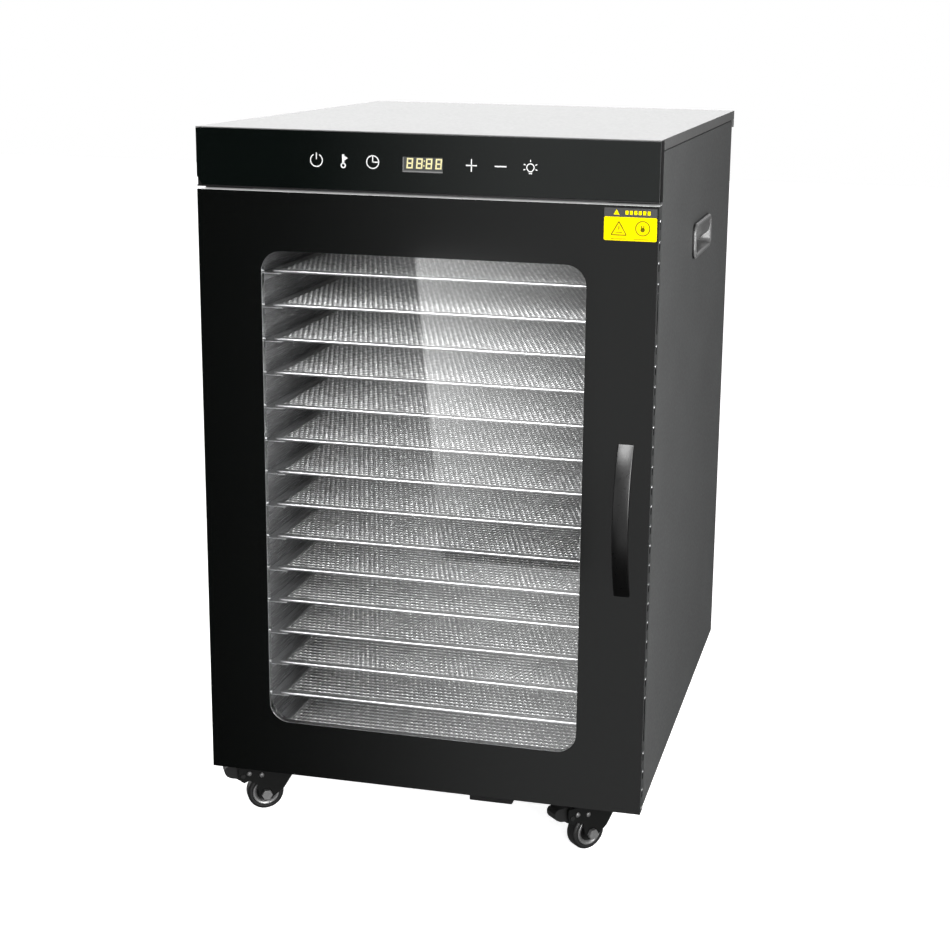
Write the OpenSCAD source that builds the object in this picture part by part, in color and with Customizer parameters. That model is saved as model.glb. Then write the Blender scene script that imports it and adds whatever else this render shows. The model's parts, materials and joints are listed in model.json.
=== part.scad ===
// Food dehydrator cabinet with sixteen mesh trays, a glass door and four castors.
// Row frame: origin under the centre of the whole object, on the floor.
// +Z is up and the door faces -Y. Millimetres.
// Cabinet frame: X centred, Y from the door's front face backwards, Z from the door's lower edge.

/* [Cabinet] */
// Width across the door and the top cover
body_w = 550; // [540:1:560]
// Height from the door's lower edge to the top of the cover
body_h = 804; // [800:1:812]
// Depth from the door's front face to the rear edge of the side panels
body_d = 675; // [665:1:690]
// How far the top cover reaches behind the side panels
cover_overhang = 17; // [15:1:20]
// Height of the cover's side flanges
cover_flange_h = 12; // [10:1:14]
// Height of the castors under the base
castor_h = 77; // [74:1:80]

/* [Door] */
// Height of the door
door_h = 731.5; // [730:0.1:732]
// Thickness of the door
door_t = 21; // [20:0.5:23]
// Left and right edge of the window in the door skin
win_x = [-196.5, 194.5];
// Lower and upper edge of the window in the door skin
win_z = [70, 662];
// Corner radius of the window
win_r = 25; // [15:1:35]
// How far the bow handle stands out of the door
handle_reach = 26; // [24:1:32]
// Lower and upper end of the bow handle
handle_z = [274, 457.5];
// Centre of the bow handle from the cabinet's middle
handle_x = 245; // [240:1:250]
// Width of the bow handle
handle_w = 19; // [14:1:22]
// Thickness of the bow
handle_t = 5.5; // [4:0.5:7]
// Heights of the three hinges
hinge_z = [67, 378, 661];
// Pitch of the small louvres in the door's right edge
louvre_pitch = 23.65; // [22:0.05:24]

/* [Trays] */
// Number of trays is fixed by the node list; this is their pitch
tray_pitch = 41.6; // [40:0.1:42]
// Height of the lowest tray
tray_z0 = 49.5; // [48:0.5:55]
// Width and depth of a tray
tray_size = [400, 480];
// Height of a tray's rim
tray_rim_h = 4; // [3:0.5:6]
// Width of a tray's rim
tray_rim_w = 9; // [6:1:14]

/* [Castors] */
// Diameter of a castor wheel
wheel_d = 47; // [45:1:48]
// Width of a castor wheel
wheel_w = 18; // [16:1:19]
// Distance from the swivel axis to the wheel's axle
castor_trail = 20; // [16:1:22]
// Swivel axis from the cabinet's middle
castor_x = 212; // [205:1:218]
// Front and rear swivel axis from the door's front face
castor_y = [68.5, 615];
// Angles that the left and the right castors trail at, from the left towards the front
castor_yaw = [31, 47];

/* [Hidden] */

$fn = 48;
front_y = handle_reach - (handle_reach + body_d + cover_overhang) / 2;
half_w = body_w / 2;
sheet = 1.2;
thin = 1;
fit = 0.05;                          // running clearance of pins and shafts, on the radius
past = 1;                            // how far a cutter runs past a face

// Side panels and cover
panel_x = half_w - 0.8;              // outer face of the side panels
panel_y = door_t + 2.2;              // front face of the cabinet, behind the door
panel_top = body_h - cover_flange_h - 2;
flange_in = 214;                     // inner edge of the side panels' front flanges
cover_z = body_h - sheet;
cover_back = body_d + cover_overhang;
joggle_x = panel_x - 1.6;            // outer face of the side panels inside the cover
behind_flange = panel_y + 1.4;       // front of what stands behind the front flanges
rear_flange_w = 16;
cover_rear_h = 24;
bolt_hole_r = 3.3;

// Back panel with its raised, louvred fan cover
back_y = body_d + 0.2;
bulge_x = [-200, 200];
bulge_z = [110, 700];
bulge_d = 13;
back_screw_x = [-240, 240];
back_screw_z = [30, 280, 530, 780];

// Control fascia
fascia_z = door_h + 3;
glass_z = fascia_z + 2;
glass_t = 3;
glass_top = cover_z - 0.2;
glass_chamfer = [6.5, 10];
display_x = [-26, 29];
display_z = [756, 785];
key_x = [-126, -92, -58, 59, 93, 127.5];
key_z = 769.5;
housing_y = [glass_t + 0.05, door_t + 1.6];
strip_y = 0.8;                       // front of the strip under the glass

// Drying space
liner_x = 212;                       // inner face of the liner's side walls
liner_z = [23.8, 712.2];             // upper face of its floor, lower face of its ceiling
liner_back = 612.2;
baffle_y = 535;
tray_y = 39;
runner_in = 187;
tray_count = 16;
tray_mesh_t = 0.5;                   // flat stand-in for the woven mesh
runner_gap = 0.4;                    // height of a tray over its runners

// Fans
fan_z = [205, 535];
fan_r = 72;
shaft_r = 4;
element_r = 88;
element_rod_r = 3.5;
element_y = [578, 590];
probe = [150, 680];
probe_r = 3;

// Mains inlet
inlet_x = [186, 214];
inlet_z = [49.5, 70.5];

// Hinges
hinge_x = half_w + 0.5;
hinge_y = (door_t + panel_y) / 2;
knuckle_r = 4.5;
hinge_room = 0.7;                    // radial clearance of the knuckles in the panels
hinge_pin_r = 2.2;
hinge_h = 42;
leaf_t = 0.8;
leaf_w = 25;
leaf_gap = 0.05;

// Louvres in the door's right edge; they leave room for the two catches
louvre_z0 = 3;
louvre_h = 8;
louvre_y = [8, 14];
function at_catch(i) = i == 4 || i == 5 || i == 25 || i == 26;

// Castors: U runs from the swivel axis towards the wheel, Z down from the base
axle_z = wheel_d / 2 - castor_h;
axle_r = 4;
fork_in = wheel_w / 2 + 2.5;         // inner face of a fork's legs
fork_t = 2.5;
fork_out = fork_in + fork_t;
kingpin_r = 4;
plate_size = [62, 52];
plate_holes = [24, 18];
plate_t = 2.5;
race_z = -7.5;                       // lower face of the swivel race
pedal_pivot = [50, -26];
pedal_pin_r = 3;
pedal_w = 18;

// Screws
screw_r = 2;
catch_z = [114, 609];
catch_x = [244, 260];
catch_h = 40;
function catch_span(z) = [z - catch_h / 2, z + catch_h / 2];

// ---------- shared helpers ----------

module cabinet() translate([0, front_y, castor_h]) children();

module plate(x, y, z) {
    translate([x[0], y[0], z[0]]) cube([x[1] - x[0], y[1] - y[0], z[1] - z[0]]);
}

module on_side(s) mirror([s < 0 ? 1 : 0, 0, 0]) children();

module slab_x(x) translate([x[0], 0, 0]) rotate([90, 0, 90]) linear_extrude(x[1] - x[0]) children();

module slab_y(y) translate([0, y[1], 0]) rotate([90, 0, 0]) linear_extrude(y[1] - y[0]) children();

module rod_y(x, z, r, y) translate([x, y[0], z]) rotate([-90, 0, 0]) cylinder(h = y[1] - y[0], r = r);

module rounded_rect(x, y, r) {
    translate([x[0] + r, y[0]]) square([x[1] - x[0] - 2 * r, y[1] - y[0]]);
    translate([x[0], y[0] + r]) square([x[1] - x[0], y[1] - y[0] - 2 * r]);
    for (cx = [x[0] + r, x[1] - r], cy = [y[0] + r, y[1] - r]) translate([cx, cy]) circle(r);
}

function grown(span, d) = [span[0] - d, span[1] + d];

// ---------- cabinet shell ----------

module hinge_clearance(r) {
    for (z = hinge_z) translate([hinge_x, hinge_y, z - hinge_h / 2 - 0.5]) cylinder(h = hinge_h + 1, r = r);
}

module side_panel(s) {
    color("#3a3b3d") cabinet() on_side(s) difference() {
        union() {
            plate([panel_x - sheet, panel_x], [panel_y, body_d], [0, panel_top]);
            plate([flange_in, panel_x], [panel_y, panel_y + sheet], [0, panel_top]);
            plate([panel_x - rear_flange_w, panel_x], [body_d - sheet, body_d], [0, panel_top]);
            plate([joggle_x - sheet, panel_x], [panel_y, body_d], [panel_top - sheet, panel_top]);
            plate([joggle_x - sheet, joggle_x], [panel_y, body_d], [panel_top - sheet, cover_z - 0.2]);
        }
        slab_x([panel_x - 2 * sheet, panel_x + past]) side_handle_hole();
        if (s < 0) hinge_clearance(knuckle_r + hinge_room);
        if (s > 0) for (z = catch_z) {
            plate(grown(catch_x, 0.5), [panel_y - past, panel_y + sheet + past], grown(catch_span(z), 0.5));
        }
    }
}

module top_cover() {
    color("#c9cbcd") cabinet() union() {
        plate([-half_w, half_w], [0, cover_back], [cover_z, body_h]);
        plate([-half_w, half_w], [cover_back - sheet, cover_back], [body_h - cover_rear_h, body_h]);
        for (s = [-1, 1]) on_side(s) {
            plate([half_w - sheet, half_w], [panel_y, cover_back], [body_h - cover_flange_h, body_h]);
        }
    }
}

module base_pan() {
    color("#2c2d2f") cabinet() difference() {
        union() {
            plate([-joggle_x, joggle_x], [behind_flange, body_d - 2], [0, 1.5]);
            plate([-flange_in + 0.2, flange_in - 0.2], [panel_y, panel_y + 1.5], [0, 22.5]);
            for (s = [-1, 1]) on_side(s) {
                plate([joggle_x - sheet, joggle_x], [behind_flange, body_d - 2], [0, 16]);
            }
        }
        for (sx = [-1, 1], y = castor_y, hx = [-1, 1], hy = [-1, 1]) {
            translate([sx * castor_x + hx * plate_holes[0], y + hy * plate_holes[1], -past])
                cylinder(h = 4, r = bolt_hole_r);
        }
    }
}

module back_panel() {
    color("#2c2d2f") cabinet() difference() {
        union() {
            plate([-joggle_x, joggle_x], [back_y, back_y + sheet], [2, cover_z - 1]);
            plate(bulge_x, [back_y, back_y + bulge_d], bulge_z);
        }
        plate(grown(bulge_x, -sheet), [back_y - past, back_y + bulge_d - sheet], grown(bulge_z, -sheet));
        for (fan = fan_z, row = [-4:4], column = [-1:1]) {
            plate([column * 64 - 26, column * 64 + 26], [back_y, back_y + 20],
                  [fan + row * 14 - 3, fan + row * 14 + 3]);
        }
        plate(grown(inlet_x, 0.5), [back_y - past, back_y + 5], grown(inlet_z, 0.5));
        for (x = back_screw_x, z = back_screw_z) rod_y(x, z, screw_r + 0.2, [back_y - past, back_y + 5]);
    }
}

module base_stop() {
    color("#161617") cabinet() plate([55, 110], [28, 58], [-20, 0]);
}

// ---------- carrying handles ----------

cup_y = [287, 438];
cup_z = [635, 680];
cup_depth = 24;

module side_handle_hole() rounded_rect(grown(cup_y, -5), grown(cup_z, -5), 12);

module side_handles() {
    color("#1b1b1c") cabinet() for (s = [-1, 1]) on_side(s) difference() {
        union() {
            slab_x([panel_x + 0.05, half_w + 5]) rounded_rect(cup_y, cup_z, 14);
            slab_x([half_w - cup_depth, panel_x + 1])
                rounded_rect(grown(cup_y, -5.5), grown(cup_z, -5.5), 11.5);
        }
        slab_x([half_w - cup_depth + 2, half_w + 5 + past])
            rounded_rect(grown(cup_y, -8), grown(cup_z, -8), 9);
    }
}

// ---------- drying space ----------

module inner_liner() {
    color("#b9bcbe") cabinet() {
        for (s = [-1, 1]) on_side(s) {
            plate([liner_x, liner_x + thin], [behind_flange, liner_back - 0.2], [24, 712]);
        }
        plate([-liner_x - thin, liner_x + thin], [behind_flange, liner_back - 0.2],
              [liner_z[0] - thin, liner_z[0]]);
        plate([-liner_x - thin, liner_x + thin], [behind_flange, liner_back - 0.2],
              [liner_z[1], liner_z[1] + thin]);
        plate([-flange_in + 0.2, flange_in - 0.2], [panel_y, panel_y + sheet], [713.4, cover_z - 6]);
        difference() {
            plate([-liner_x - thin, liner_x + thin], [liner_back, liner_back + thin],
                  [liner_z[0] - thin, liner_z[1] + thin]);
            for (z = fan_z) {
                rod_y(0, z, 9, [liner_back - past, liner_back + 3]);
                for (x = [-1, 1]) {
                    rod_y(x * element_r, z, element_rod_r + 1, [liner_back - past, liner_back + 3]);
                }
            }
            rod_y(probe[0], probe[1], probe_r + 0.5, [liner_back - past, liner_back + 3]);
        }
    }
}

module rear_baffle() {
    color("#b4b7ba") cabinet() difference() {
        plate([-liner_x + 0.4, liner_x - 0.4], [baffle_y, baffle_y + sheet], [24.2, 711.8]);
        for (i = [0:tray_count - 1], s = [-1, 1]) on_side(s) {
            plate([150, 192], [baffle_y - past, baffle_y + 3],
                  [tray_height(i) + 12, tray_height(i) + 20]);
        }
        for (fan = fan_z, ring = [0:4], k = [0:max(1, 6 * ring) - 1]) {
            angle = 360 * k / max(1, 6 * ring);
            rod_y(ring * 14 * cos(angle), fan + ring * 14 * sin(angle), 5, [baffle_y - past, baffle_y + 3]);
        }
    }
}

function tray_height(i) = tray_z0 + i * tray_pitch;

module tray_runners() {
    color("#a9acaf") cabinet() for (i = [0:tray_count - 1], s = [-1, 1]) on_side(s) {
        top = tray_height(i) - tray_rim_h / 2 - runner_gap;
        plate([runner_in, liner_x - 0.2], [tray_y + 1, baffle_y - 7], [top - sheet, top]);
        plate([liner_x - 0.2 - sheet, liner_x - 0.2], [tray_y + 1, baffle_y - 7], [top - 10, top]);
    }
}

module tray(i) {
    z = tray_height(i);
    half = tray_size[0] / 2;
    rear = tray_y + tray_size[1];
    color("#c4c6c8") cabinet() union() {
        difference() {
            plate([-half, half], [tray_y, rear], [z - tray_rim_h / 2, z + tray_rim_h / 2]);
            plate([tray_rim_w - half, half - tray_rim_w], [tray_y + tray_rim_w, rear - tray_rim_w],
                  [z - tray_rim_h, z + tray_rim_h]);
        }
        plate([tray_rim_w - half - 1, half - tray_rim_w + 1],
              [tray_y + tray_rim_w - 1, rear - tray_rim_w + 1], [z - tray_mesh_t / 2, z + tray_mesh_t / 2]);
    }
}

// ---------- heater and fans ----------

module heating_elements() {
    color("#4d4f52") cabinet() for (z = fan_z) {
        for (y = element_y) translate([0, y, z]) rotate([90, 0, 0]) {
            rotate_extrude() translate([element_r, 0]) circle(element_rod_r);
        }
        for (x = [-1, 1]) rod_y(x * element_r, z, element_rod_r, [element_y[0], 628]);
    }
}

module fan_motor(z) {
    color("#55585c") cabinet() difference() {
        union() {
            plate([-45, 45], [liner_back + 1.2, liner_back + 3.2], [z - 45, z + 45]);
            rod_y(0, z, 38, [liner_back + 3, liner_back + 40]);
        }
        rod_y(0, z, shaft_r + fit, [liner_back, liner_back + 36]);
    }
}

module fan_impeller(z) {
    color("#9da0a3") cabinet() union() {
        rod_y(0, z, shaft_r, [556, liner_back + 34]);
        rod_y(0, z, 12, [558, 587]);
        rod_y(0, z, fan_r, [585, 586.5]);
        for (k = [0:7]) translate([0, 0, z]) rotate([0, k * 45, 0]) {
            plate([8, fan_r], [562, 586], [-0.8, 0.8]);
        }
    }
}

// ---------- controls ----------

module control_glass() {
    color("#0c0c0d") cabinet() slab_y([0, glass_t]) polygon([
        [-half_w, glass_z + glass_chamfer[1]], [-half_w + glass_chamfer[0], glass_z],
        [half_w, glass_z], [half_w, glass_top], [-half_w, glass_top]]);
}

module fascia_housing() {
    color("#6d6f72") cabinet() difference() {
        union() {
            plate([-half_w, half_w], [housing_y[0], housing_y[0] + sheet], [fascia_z, glass_top]);
            plate([-half_w, half_w], [strip_y, housing_y[1]], [fascia_z, fascia_z + sheet]);
            plate([-half_w, half_w], [strip_y, strip_y + sheet], [fascia_z, glass_z - 0.2]);
            for (s = [-1, 1]) on_side(s) {
                plate([half_w - sheet, half_w], housing_y, [fascia_z, glass_top]);
            }
        }
        plate(display_x, [0, 10], display_z);
    }
}

module control_board() {
    color("#1f5a36") cabinet() union() {
        plate([-150, 150], [7, 8.6], [745, 795]);
        for (x = key_x) rod_y(x, key_z, 6, [5, 7.5]);
    }
}

module display_module() {
    color("#8f8a6a") cabinet() plate(grown(display_x, -1), [glass_t + 0.1, 6.9], grown(display_z, -1));
}

module power_board() {
    color("#1f5a36") cabinet() union() {
        plate([-110, 60], [90, 210], [722, 723.6]);
        plate([-95, -50], [105, 145], [723, 758]);
        plate([-30, -10], [105, 135], [723, 742]);
        plate([0, 20], [105, 135], [723, 742]);
        plate([-80, 30], [170, 195], [723, 736]);
        for (x = [-104, 54], y = [96, 204]) translate([x, y, 713.4]) cylinder(h = 9, r = 3);
    }
}

module interior_lamp() {
    color("#f3efdc") cabinet() union() {
        plate([-40, 40], [60, 84], [706, 712]);
        slab_x([-36, 36]) translate([72, 704]) circle(8);
    }
}

module temperature_probe() {
    color("#c0c3c6") cabinet() union() {
        rod_y(probe[0], probe[1], probe_r, [548, 624]);
        rod_y(probe[0], probe[1], probe_r + 2.5, [605, liner_back - 0.4]);
    }
}

module power_inlet() {
    middle = (inlet_x[0] + inlet_x[1]) / 2;
    color("#19191a") cabinet() difference() {
        union() {
            plate(inlet_x, [648, back_y + 1.4], inlet_z);
            plate([middle - 25, middle + 25], [back_y + 1.4, back_y + 4], grown(inlet_z, 1.5));
        }
        plate(grown(inlet_x, -2), [655, back_y + 5], grown(inlet_z, -2));
        for (s = [-1, 1]) rod_y(middle + s * 20, 60, 1.8, [back_y, back_y + 5]);
    }
    color("#d2cda8") cabinet() for (pin = [[-7, -2], [0, 2], [7, -2]]) {
        plate([middle - 1 + pin[0], middle + 1 + pin[0]], [652, 670], [58 + pin[1], 62 + pin[1]]);
    }
}

// ---------- hinges, catches and screws ----------

module knuckle(z0, z1) {
    difference() {
        translate([hinge_x, hinge_y, z0]) cylinder(h = z1 - z0, r = knuckle_r);
        translate([hinge_x, hinge_y, z0 - past]) cylinder(h = z1 - z0 + 2 * past, r = hinge_pin_r + fit);
    }
}

module leaf(y0, z, cuts) {
    difference() {
        plate([hinge_x - leaf_w, hinge_x], [y0, y0 + leaf_t], [z - hinge_h / 2, z + hinge_h / 2]);
        for (cut = cuts) plate([hinge_x - 6, hinge_x + 6], [y0 - past, y0 + leaf_t + past],
                               [z + cut[0], z + cut[1]]);
        translate([hinge_x, hinge_y, z - hinge_h]) cylinder(h = 2 * hinge_h, r = hinge_pin_r + fit);
    }
}

// The outer knuckles and the pin belong to the cabinet, the middle knuckle to the door.
knuckle_split = [6.6, 7];

module hinge_frame_leaves() {
    color("#101011") cabinet() on_side(-1) for (z = hinge_z) {
        leaf(panel_y - leaf_gap - leaf_t, z, [[-knuckle_split[1], knuckle_split[1]]]);
        for (s = [-1, 1]) {
            knuckle(z + min(s * knuckle_split[1], s * hinge_h / 2),
                    z + max(s * knuckle_split[1], s * hinge_h / 2));
        }
        translate([hinge_x, hinge_y, z - hinge_h / 2]) cylinder(h = hinge_h, r = hinge_pin_r);
    }
}

module hinge_door_leaves() {
    outer = hinge_h / 2 + 1;
    color("#101011") cabinet() on_side(-1) for (z = hinge_z) {
        leaf(door_t + leaf_gap, z, [[-outer, -knuckle_split[0]], [knuckle_split[0], outer]]);
        knuckle(z - knuckle_split[0], z + knuckle_split[0]);
    }
}

module magnetic_catches() {
    color("#3b3c3e") cabinet() for (z = catch_z) {
        plate(catch_x, [panel_y - 1, panel_y + 11], catch_span(z));
    }
}

module cabinet_screws() {
    color("#9a9da0") cabinet() {
        for (x = back_screw_x, z = back_screw_z) {
            rod_y(x, z, 4, [back_y + sheet + 0.05, back_y + sheet + 2.4]);
            rod_y(x, z, screw_r, [back_y - 8, back_y + sheet + 1]);
        }
        for (sx = [-1, 1], y = castor_y, hx = [-1, 1], hy = [-1, 1]) {
            translate([sx * castor_x + hx * plate_holes[0], y + hy * plate_holes[1], 0]) {
                translate([0, 0, -plate_t - 4.05]) cylinder(h = 4, r = 5.8, $fn = 6);
                translate([0, 0, -plate_t - 1]) cylinder(h = 9, r = 3);
            }
        }
    }
}

// ---------- door ----------

module door_panel() {
    color("#0e0e0f") cabinet() difference() {
        plate([-half_w, half_w], [0, door_t - 1], [0, door_h]);
        plate([thin - half_w, half_w - thin], [thin, door_t], [thin, door_h - thin]);
        slab_y([-past, thin + past]) rounded_rect(win_x, win_z, win_r);
        on_side(-1) hinge_clearance(knuckle_r + hinge_room);
        for (i = [1:30]) if (!at_catch(i)) {
            top = louvre_z0 + louvre_pitch * i;
            plate([half_w - 2 * thin, half_w + past], louvre_y, [top - louvre_h, top]);
        }
        for (z = catch_z) {
            plate([half_w - 2 * thin, half_w + past], louvre_y, grown(catch_span(z), 3));
        }
    }
}

module door_glass() {
    color([0.75, 0.8, 0.8, 0.35]) cabinet() slab_y([thin + 0.1, thin + 4.1]) {
        rounded_rect(grown(win_x, 14), grown(win_z, 14), win_r + 5);
    }
}

module door_inner_frame() {
    color("#b9bcbe") cabinet() difference() {
        union() {
            plate([thin + 0.2 - half_w, half_w - thin - 0.2], [door_t - thin, door_t],
                  [thin + 0.2, door_h - thin - 0.2]);
            slab_y([thin + 4.3, door_t]) rounded_rect(grown(win_x, 6), grown(win_z, 6), win_r + 6);
        }
        slab_y([0, door_t + past]) rounded_rect(grown(win_x, 5), grown(win_z, 5), win_r + 5);
        on_side(-1) hinge_clearance(knuckle_r + hinge_room);
        for (x = door_screw_x, z = door_screw_z) rod_y(x, z, 1.7, [door_t - 2, door_t + past]);
    }
}

door_screw_x = [-239, 239];
door_screw_z = [30, 150, 260, 480, 590, 705];

gasket_x = [-229, 229];
gasket_z = [9, 728];

module door_gasket() {
    color("#8d8f91") cabinet() difference() {
        plate(gasket_x, [door_t + 0.05, panel_y - 0.4], gasket_z);
        plate(grown(gasket_x, -12), [door_t - past, panel_y], grown(gasket_z, -12));
    }
}

module door_handle() {
    half = (handle_z[1] - handle_z[0]) / 2;
    r = (half * half + handle_reach * handle_reach) / (2 * handle_reach);
    color("#3d3e40") cabinet() slab_x([handle_x - handle_w / 2, handle_x + handle_w / 2]) {
        translate([0, (handle_z[0] + handle_z[1]) / 2]) intersection() {
            translate([r - handle_reach, 0]) difference() {
                circle(r, $fn = 128);
                circle(r - handle_t, $fn = 128);
            }
            translate([-2 * handle_reach, -half - past])
                square([2 * handle_reach - 0.05, 2 * half + 2 * past]);
        }
    }
}

module door_screws() {
    color("#9a9da0") cabinet() for (x = door_screw_x, z = door_screw_z) {
        rod_y(x, z, 3.5, [door_t + 0.05, door_t + 1.4]);
        rod_y(x, z, 1.5, [door_t - 8, door_t + 1]);
    }
}

// ---------- castors ----------

module at_castor(sx, y) {
    cabinet() translate([sx * castor_x, y, 0]) rotate([0, 0, 180 + castor_yaw[sx > 0 ? 1 : 0]]) children();
}

module across(w) translate([0, w, 0]) rotate([90, 0, 0]) linear_extrude(2 * w) children();

module castor_plates() {
    color("#8b8e91") cabinet() for (sx = [-1, 1], y = castor_y) translate([sx * castor_x, y, 0]) {
        difference() {
            plate([-plate_size[0] / 2, plate_size[0] / 2], [-plate_size[1] / 2, plate_size[1] / 2],
                  [-plate_t, -0.05]);
            for (hx = [-1, 1], hy = [-1, 1]) {
                translate([hx * plate_holes[0], hy * plate_holes[1], -plate_t - past])
                    cylinder(h = plate_t + 2 * past, r = bolt_hole_r);
            }
        }
        translate([0, 0, race_z]) cylinder(h = -race_z - plate_t + 0.1, r = 17);
        translate([0, 0, -19]) cylinder(h = 19 - plate_t, r = kingpin_r);
        translate([0, 0, -19]) cylinder(h = 2, r = 7);
    }
}

// Outline of a fork's legs; with a brake they reach further, to hold the pedal
module fork_profile(braked) {
    arm = braked
        ? [[56, -14], [56, -24], [53, -32.5], [48.5, -35.7], [42.5, -32.8], [33, -38]]
        : [[34, -14], [34, -30]];
    foot = [[9, -2], [4, -8], [-4, -8], [-11, -3], [-23, 6]];
    polygon(concat([[-17.5, -11]], arm, [for (p = foot) [castor_trail + p[0], axle_z + p[1]]],
                   [[-17.5, -25]]));
}

module castor_fork(sx, y, braked) {
    color("#141415") at_castor(sx, y) {
        difference() {
            union() {
                translate([0, 0, -16.5]) cylinder(h = 8.6, r = 18);
                plate([-17.5, 30], [-fork_out, fork_out], [-16.5, -14]);
                intersection() {
                    across(fork_out) fork_profile(braked);
                    union() {
                        plate([-30, 70], [fork_in, fork_out], [-70, 0]);
                        plate([-30, 70], [-fork_out, -fork_in], [-70, 0]);
                    }
                }
            }
            translate([0, 0, -20]) cylinder(h = 20, r = kingpin_r + fit);
            rod_y(castor_trail, axle_z, axle_r + 0.1, [-30, 30]);
            if (braked) rod_y(pedal_pivot[0], pedal_pivot[1], pedal_pin_r + fit, [-30, 30]);
        }
        translate([castor_trail, 0, axle_z]) rotate([90, 0, 0]) {
            translate([0, 0, -fork_out - 5]) cylinder(h = 2 * fork_out + 10, r = axle_r);
            for (s = [-1, 1]) {
                translate([0, 0, s * (fork_out + 2.6) - 2.5]) cylinder(h = 5, r = 7, $fn = 6);
            }
        }
    }
}

module castor_wheel(sx, y) {
    r = wheel_d / 2;
    w = wheel_w / 2;
    color("#1a1a1b") at_castor(sx, y) translate([castor_trail, 0, axle_z]) rotate([90, 0, 0]) {
        rotate_extrude($fn = 96) polygon([
            [axle_r + fit, -w - 1.5], [8, -w - 1.5], [8, -w + 1.5], [15, -w + 1.5], [16.5, -w],
            [r - 3, -w], [r - 0.8, 2.4 - w], [r, 5 - w], [r, w - 5], [r - 0.8, w - 2.4],
            [r - 3, w], [16.5, w], [15, w - 1.5], [8, w - 1.5], [8, w + 1.5], [axle_r + fit, w + 1.5]]);
    }
}

module brake_pedal(sx) {
    color("#232324") at_castor(sx, castor_y[0]) union() {
        across(pedal_w / 2) polygon([
            [45, -16], [56, -13], [66, -12], [71, -13.5], [73, -17], [72.5, -22], [70, -26],
            [65, -29], [58, -30.5], [54, -33.5], [49, -35.5], [45, -33]]);
        rod_y(pedal_pivot[0], pedal_pivot[1], pedal_pin_r, [-fork_out - 1, fork_out + 1]);
    }
}

tray(0);  // tray_01
tray(1);  // tray_02
tray(2);  // tray_03
tray(3);  // tray_04
tray(4);  // tray_05
tray(5);  // tray_06
tray(6);  // tray_07
tray(7);  // tray_08
tray(8);  // tray_09
tray(9);  // tray_10
tray(10);  // tray_11
tray(11);  // tray_12
tray(12);  // tray_13
tray(13);  // tray_14
tray(14);  // tray_15
tray(15);  // tray_16
castor_fork(-1, castor_y[0], true);  // castor_fork_front_left
castor_fork(1, castor_y[0], true);  // castor_fork_front_right
castor_fork(-1, castor_y[1], false);  // castor_fork_rear_left
castor_fork(1, castor_y[1], false);  // castor_fork_rear_right
castor_wheel(-1, castor_y[0]);  // castor_wheel_front_left
castor_wheel(1, castor_y[0]);  // castor_wheel_front_right
castor_wheel(-1, castor_y[1]);  // castor_wheel_rear_left
castor_wheel(1, castor_y[1]);  // castor_wheel_rear_right
brake_pedal(-1);  // brake_pedal_left
brake_pedal(1);  // brake_pedal_right
castor_plates();
side_panel(-1);  // left_side_panel
side_panel(1);  // right_side_panel
top_cover();
base_pan();
back_panel();
inner_liner();
rear_baffle();
tray_runners();
heating_elements();
fan_motor(fan_z[1]);  // fan_motor_upper
fan_motor(fan_z[0]);  // fan_motor_lower
fan_impeller(fan_z[1]);  // fan_impeller_upper
fan_impeller(fan_z[0]);  // fan_impeller_lower
fascia_housing();
control_glass();
control_board();
display_module();
power_board();
side_handles();
interior_lamp();
temperature_probe();
power_inlet();
hinge_frame_leaves();
magnetic_catches();
cabinet_screws();
base_stop();
door_panel();
door_glass();
door_inner_frame();
door_gasket();
door_handle();
hinge_door_leaves();
door_screws();
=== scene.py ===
"""Looks of the food dehydrator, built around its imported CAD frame.

Lengths written as plain numbers are millimetres in the cabinet's own frame: X is centred, Y runs
backwards from the door's front face and Z runs up from the door's lower edge. cab() turns them into
the row frame in metres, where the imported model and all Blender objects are.
"""
import json
import math

import bmesh
import bpy
from mathutils import Matrix, Vector

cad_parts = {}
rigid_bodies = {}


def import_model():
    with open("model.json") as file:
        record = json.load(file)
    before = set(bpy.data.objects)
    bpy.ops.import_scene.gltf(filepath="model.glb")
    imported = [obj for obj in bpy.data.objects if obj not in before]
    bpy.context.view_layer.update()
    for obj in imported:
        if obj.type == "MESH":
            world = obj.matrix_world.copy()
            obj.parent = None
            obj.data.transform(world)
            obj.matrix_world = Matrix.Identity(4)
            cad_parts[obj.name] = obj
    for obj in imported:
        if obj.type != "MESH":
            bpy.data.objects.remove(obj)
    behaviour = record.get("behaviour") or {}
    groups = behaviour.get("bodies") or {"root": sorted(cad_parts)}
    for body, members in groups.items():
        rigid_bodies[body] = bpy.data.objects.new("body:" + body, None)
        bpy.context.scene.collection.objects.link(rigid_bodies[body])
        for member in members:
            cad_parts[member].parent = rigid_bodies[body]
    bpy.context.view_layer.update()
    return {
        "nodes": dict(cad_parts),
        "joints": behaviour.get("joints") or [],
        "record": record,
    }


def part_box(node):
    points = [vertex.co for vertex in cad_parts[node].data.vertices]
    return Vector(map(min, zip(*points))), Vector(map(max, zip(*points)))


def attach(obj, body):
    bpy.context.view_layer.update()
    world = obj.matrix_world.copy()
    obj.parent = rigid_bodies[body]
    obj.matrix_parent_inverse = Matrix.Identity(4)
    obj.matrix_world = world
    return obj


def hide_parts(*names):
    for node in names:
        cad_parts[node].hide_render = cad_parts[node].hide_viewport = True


for leftover in list(bpy.data.objects):
    bpy.data.objects.remove(leftover)

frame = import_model()

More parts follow.
